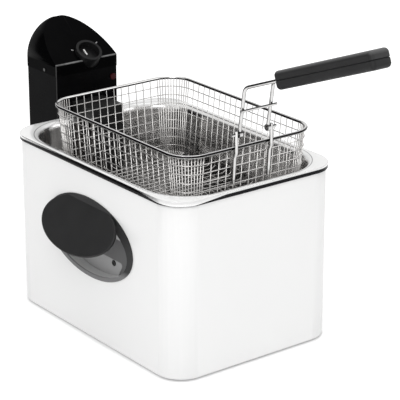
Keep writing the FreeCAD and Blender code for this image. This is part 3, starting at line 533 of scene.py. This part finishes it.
def sweep(bm, points, radius, closed=False):
    """A round wire through points, with its section turned from ASKEW, along which no wire runs."""
    points = [Vector(p) for p in points]
    count = len(points)
    turns = [2 * math.pi * k / WIRE_SIDES for k in range(WIRE_SIDES)]
    rings = []
    side = None
    for i, point in enumerate(points):
        before = points[i - 1] if i or closed else point
        after = points[(i + 1) % count] if i + 1 < count or closed else point
        along = (after - before).normalized()
        if side is None:
            side = along.cross(ASKEW).normalized()
        side = (side - along * side.dot(along)).normalized()
        other = along.cross(side)
        spots = [point + radius * (math.cos(a) * side + math.sin(a) * other) for a in turns]
        rings.append([bm.verts.new(spot) for spot in spots])
    if closed:
        first, last = rings[0], rings[-1]
        shift = min(range(WIRE_SIDES), key=lambda k: (last[0].co - first[k].co).length)
        rings.append(first[shift:] + first[:shift])
    skin(bm, rings, capped=not closed)


# Drawn tank with a rounded mouth, each ring given by its insets along X and Y, corner radius and depth

SHEET = 0.0012
TANK_DEPTH = TANK_HIGH.z - TANK_LOW.z
FLAT_EDGE = (FLANGE_X, FLANGE_Y, MOUTH_CORNER, 0)
THROAT = (0.0144, 0.0114, 0.048, 0.009)
TANK_FLOOR = (0.0294, 0.0194, 0.040, TANK_DEPTH - SHEET)
LIP_ROUND = 0.0006
LIP_PROFILE = ((LIP_ROUND, 0), (LIP_ROUND / 3, LIP_ROUND / 3), (0, LIP_ROUND),
               (0, LIP_HEIGHT), (SHEET, LIP_HEIGHT), (SHEET, SHEET))
MOUTH_STEPS, UNDER_START = 8, 3
CORNER_STEPS, RUN_OUT = 14, 0.002


def outside_of(ring, depth):
    """The ring on the outer face of the sheet beside a ring on its inner face."""
    inset_x, inset_y, corner, _ = ring
    return inset_x - SHEET, inset_y - SHEET, corner + SHEET, depth


def tank_rings():
    """Rings from the tank's floor up over its mouth and lip, and down again on the outside.

    The outside has no ring for the mouth's first steps, which lie at the underside of the flange.
    """
    mouth = []
    for step in range(MOUTH_STEPS + 1):
        angle = math.radians(90 * step / MOUTH_STEPS)
        over, down = math.sin(angle), 1 - math.cos(angle)
        mouth.append([a + (b - a) * over for a, b in zip(FLAT_EDGE[:3], THROAT[:3])] + [THROAT[3] * down])
    lip = [(inset, inset, LIP_CORNER - inset, down) for inset, down in LIP_PROFILE]
    under = [(*FLAT_EDGE[:3], SHEET)]
    for step in range(UNDER_START, MOUTH_STEPS + 1):
        depth = mouth[step][3] + SHEET * (1 - step / MOUTH_STEPS)
        under.append(outside_of(mouth[step], depth))
    under.append(outside_of(TANK_FLOOR, TANK_DEPTH))
    return [TANK_FLOOR] + mouth[::-1] + lip + under


def tank_pressing():
    """The tank as one pressed sheet: floor, walls, rounded mouth, flat flange and turned-down lip.

    A point past each end of a corner keeps the corner's shading off the straight sides.
    """
    bm = bmesh.new()
    rings = []
    for inset_x, inset_y, corner, depth in tank_rings():
        half_x, half_y = TANK_HIGH.x - inset_x - corner, TANK_HIGH.y - inset_y - corner
        ring = []
        for quarter, (sx, sy) in enumerate(QUARTERS):
            centre = Vector((sx * half_x, sy * half_y, TANK_HIGH.z - depth))
            for step in range(-1, CORNER_STEPS + 2):
                arc = min(max(step, 0), CORNER_STEPS)
                out = direction(quarter, arc / CORNER_STEPS)
                along = direction(quarter + 1, arc / CORNER_STEPS)
                ring.append(bm.verts.new(centre + corner * out + RUN_OUT * (step - arc) * along))
        rings.append(ring)
    skin(bm, rings)
    thing = piece_from(bm, "tank_pressing", "polished_steel", "tank", ["tank"])
    thing.data.set_sharp_from_angle(angle=SHARP)


tank_pressing()


# Welded wire mesh of the basket

WIRE, FLOOR_HALF, RIM_LAP = 0.00055, 0.0006, 0.0005
UPRIGHT_INSET = 3 * WIRE
RIM_WIRE = (RIM_HIGH.z - RIM_LOW.z) / 2
HALF_X = RIM_HIGH.x - RIM_WIRE
HALF_Y = (RIM_HIGH.y - RIM_LOW.y) / 2 - RIM_WIRE
MIDDLE = (RIM_HIGH.y + RIM_LOW.y) / 2
RIM_Z = (RIM_HIGH.z + RIM_LOW.z) / 2
FLOOR_Z = FLOOR_LOW.z + FLOOR_HALF
WALL_TOP = RIM_Z - RIM_LAP
DRAFT = HALF_X - FLOOR_HIGH.x
CORNER = HALF_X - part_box("basket_front")[1].x
ROWS, WIRES_ACROSS, WIRES_ALONG, CORNER_GAPS = 9, 13, 21, 12
HOOP_STEPS, FOOT_STEPS = 10, 4
FOOT_BEND, FOOT_TUCK = 0.005, 0.0004
LAP_HEIGHT, CORNER_TAIL = 0.003, 0.35


def inset_at(z):
    """How far the basket's wall has drawn in at a height."""
    return DRAFT * (RIM_Z - z) / (RIM_Z - FLOOR_Z)


def corner_at(sx, sy, z):
    """The centre of one of the basket's rounded corners, at a height."""
    return Vector((sx * (HALF_X - CORNER), MIDDLE + sy * (HALF_Y - CORNER), z))


def hoop(z):
    """Points round the basket at one height."""
    radius = CORNER - inset_at(z) - WIRE
    points = []
    for quarter, signs in enumerate(QUARTERS):
        for step in range(HOOP_STEPS + 1):
            points.append(corner_at(*signs, z) + radius * direction(quarter, step / HOOP_STEPS))
    return points


def wall_profile():
    """(inset, height) pairs down the wall and round the bend into the floor."""
    pairs = [(inset_at(z), z) for z in (WALL_TOP, FLOOR_Z + FOOT_BEND)]
    for step in range(1, FOOT_STEPS + 1):
        angle = math.radians(90 * step / FOOT_STEPS)
        inset = DRAFT + FOOT_BEND * (1 - math.cos(angle)) - FOOT_TUCK
        pairs.append((inset, FLOOR_Z + FOOT_BEND * (1 - math.sin(angle))))
    return [(inset + UPRIGHT_INSET, z) for inset, z in pairs]


def lapped(z):
    """The height of a wire that lies over the ones that cross it on the floor."""
    return z + 2 * WIRE if z < FLOOR_Z + LAP_HEIGHT else z


def basket_mesh():
    """Welded mesh of round wire: level hoops, and inside them upright wires that run across the floor."""
    bm = bmesh.new()
    for row in range(1, ROWS):
        sweep(bm, hoop(RIM_Z - (RIM_Z - FLOOR_Z) * row / ROWS), WIRE, closed=True)
    profile = wall_profile()
    for k in range(WIRES_ACROSS):
        x = (HALF_X - CORNER) * (2 * k / (WIRES_ACROSS - 1) - 1)
        front = [(x, MIDDLE - HALF_Y + inset, z) for inset, z in profile]
        back = [(x, MIDDLE + HALF_Y - inset, z) for inset, z in profile]
        sweep(bm, front + back[::-1], WIRE)
    for k in range(WIRES_ALONG):
        y = MIDDLE + (HALF_Y - CORNER) * (2 * k / (WIRES_ALONG - 1) - 1)
        left = [(-HALF_X + inset, y, lapped(z)) for inset, z in profile]
        right = [(HALF_X - inset, y, lapped(z)) for inset, z in profile]
        sweep(bm, left + right[::-1], WIRE)
    for quarter, signs in enumerate(QUARTERS):
        for k in range(1, CORNER_GAPS):
            out = direction(quarter, k / CORNER_GAPS)
            points = [corner_at(*signs, z) + out * (CORNER - inset) for inset, z in profile]
            tail = out * (CORNER - profile[-1][0]) * CORNER_TAIL
            sweep(bm, points + [corner_at(*signs, FLOOR_Z) + tail], WIRE)
    replaced = [f"basket_{side}" for side in ("front", "back", "left", "right", "floor")]
    replaced += [f"basket_corner_{i + 1}" for i in range(len(QUARTERS))]
    piece_from(bm, "basket_mesh", "chrome_wire", "basket", replaced)


basket_mesh()


# Marks on the sloping panel, either side of the dial

SLOPE = math.radians(33)
UP_SLOPE = Vector((0, math.cos(SLOPE), math.sin(SLOPE)))
OFF_SLOPE = Vector((0, -math.sin(SLOPE), math.cos(SLOPE)))
DIAL_RIGHT, DIAL_UP = 0.008, 0.0103
DIAL = PANEL_EDGE + DIAL_UP * UP_SLOPE + Vector((DIAL_RIGHT, 0, 0))
MARK_HALF_LENGTH, MARK_HALF_WIDTH, MARK_RISE, MARK_BEVEL = 0.0016, 0.0006, 0.00025, 0.0001


def dial_mark(name, turn, reach):
    """A short raised stroke that points at the dial."""
    bm = bmesh.new()
    turned = math.radians(turn)
    along = math.sin(turned) * Vector((1, 0, 0)) + math.cos(turned) * UP_SLOPE
    aside = along.cross(OFF_SLOPE)
    rings = []
    for lift in (-MARK_RISE, MARK_RISE):
        centre = DIAL + along * reach + lift * OFF_SLOPE
        rings.append([bm.verts.new(centre + a * MARK_HALF_LENGTH * along + b * MARK_HALF_WIDTH * aside)
                      for a, b in QUARTERS])
    skin(bm, rings)
    bmesh.ops.bevel(bm, geom=bm.edges, offset=MARK_BEVEL, segments=1, affect="EDGES")
    piece_from(bm, name, "mark_grey", "head")


dial_mark("dial_mark_low", turn=-65, reach=0.0198)
dial_mark("dial_mark_high", turn=57, reach=0.0236)


# Screws that hold the finger cups

SCREW_Y, SCREW_Z, SCREW_SIDES = -0.0306, 0.1018, 24
SCREW_PROFILE = ((0.0036, -0.0003), (0.0036, 0.0005), (0.0029, 0.0011), (0.0016, 0.0013), (0.0016, 0.0004))


def cup_screw(name, side):
    """A pan head with a round recess, on the back wall of a finger cup."""
    bm = bmesh.new()
    turns = [2 * math.pi * k / SCREW_SIDES for k in range(SCREW_SIDES)]
    rings = []
    for radius, lift in SCREW_PROFILE:
        rings.append([bm.verts.new((side * (CUP_BACK + lift), SCREW_Y + radius * math.cos(a),
                                    SCREW_Z + radius * math.sin(a))) for a in turns])
    skin(bm, rings)
    piece_from(bm, name, "black_steel", "housing")


cup_screw("cup_screw_left", -1)
cup_screw("cup_screw_right", 1)


# Floor, light and camera

WHITE, PAPER, CARD_BLACK = (1, 1, 1, 1), (0.93, 0.93, 0.93, 1), (0.012, 0.012, 0.012, 1)
FLOOR_SIZE = 8
GLOW_RUN, GLOW_NEAR, GLOW_FAR = (0.4, 1.6), 0.24, 0.55
WORLD_LIGHT, LAMP_TARGET = 0.66, (0, 0, 0.15)
LAMPS = (("key", (-1.5, -1.4, 1.7), 1.4, 24),
         ("side", (1.6, -1.8, 1.45), 1.0, 5),
         ("top", (0.1, 0.2, 2.2), 1.6, 10))
SENSOR, LENS, CLIP_END = 36, 166.57, 50
CAMERA_TURN, CAMERA_RISE, CAMERA_REACH = math.radians(-37.45), math.radians(20.32), 2.1618
CAMERA_TARGET = Vector((0.02479, -0.02404, 0.14736))


def plane(name, size, location, turn=(0, 0, 0)):
    """A square sheet for the studio."""
    mesh = bpy.data.meshes.new(name)
    half = size / 2
    mesh.from_pydata([(sx * half, sy * half, 0) for sx, sy in QUARTERS], [], [(0, 1, 2, 3)])
    thing = new_object(name, mesh, location, turn)
    return thing


def facing(location, target):
    """The turn that points a lamp's or camera's axis from a place to a target."""
    return (Vector(target) - Vector(location)).to_track_quat("-Z", "Y").to_euler()


def seen_directly(tree):
    """1 for rays from the camera or from a mirror-like surface, and 0 for the others."""
    path = tree.nodes.new("ShaderNodeLightPath")
    return math_step(tree, "MAXIMUM", path.outputs["Is Camera Ray"], path.outputs["Is Glossy Ray"])


def floor():
    """Pale paper that looks white where nothing shades it."""
    sheet = plane("floor", FLOOR_SIZE, (0, 0, 0))
    material, tree, shader = new_material("floor_paper")
    set_sockets(shader, {"Base Color": PAPER, "Roughness": 0.9, "Specular IOR Level": 0.1,
                         "Emission Color": WHITE})
    away = ramp(tree, vector_math(tree, "LENGTH", place_in(tree)), *GLOW_RUN, GLOW_NEAR, GLOW_FAR)
    glow = math_step(tree, "MULTIPLY", seen_directly(tree), away)
    tree.links.new(glow, shader.inputs["Emission Strength"])
    sheet.data.materials.append(material)


def surroundings():
    """White all round, softer as a light than as a background."""
    world = bpy.data.worlds.new("studio")
    scene.world = world
    world.use_nodes = True
    tree = world.node_tree
    back = tree.nodes["Background"]
    set_sockets(back, {"Color": WHITE})
    tree.links.new(ramp(tree, seen_directly(tree), 0, 1, WORLD_LIGHT, 1), back.inputs["Strength"])


def dark_card(name, size, place, target):
    """A dark board that shows only in reflections, as on the wires and the steel."""
    card = plane(name, size, place, facing(place, target))
    material, _, shader = new_material(f"{name}_black")
    set_sockets(shader, {"Base Color": CARD_BLACK, "Roughness": 1})
    card.data.materials.append(material)
    card.visible_camera = False
    card.visible_diffuse = False
    card.visible_shadow = False
    card.visible_transmission = False


def lamps():
    """Three soft area lamps."""
    for name, location, size, power in LAMPS:
        lamp = bpy.data.lights.new(name, "AREA")
        lamp.size = size
        lamp.energy = power
        new_object(name, lamp, location, facing(location, LAMP_TARGET))


def camera():
    """The photograph's viewpoint."""
    lens = bpy.data.cameras.new("camera")
    lens.sensor_width = SENSOR
    lens.lens = LENS
    lens.clip_end = CLIP_END
    level = math.cos(CAMERA_RISE)
    back = Vector((level * math.sin(CAMERA_TURN), -level * math.cos(CAMERA_TURN), math.sin(CAMERA_RISE)))
    place = CAMERA_TARGET + back * CAMERA_REACH
    scene.camera = new_object("camera", lens, place, facing(place, CAMERA_TARGET))


floor()
surroundings()
dark_card("high_card", size=2.1, place=(-1.5, 2.0, 1.15), target=(0, 0, 0.25))
dark_card("low_card", size=0.5, place=(-0.75, 0.55, 0.26), target=(0, -0.15, 0.26))
lamps()
camera()
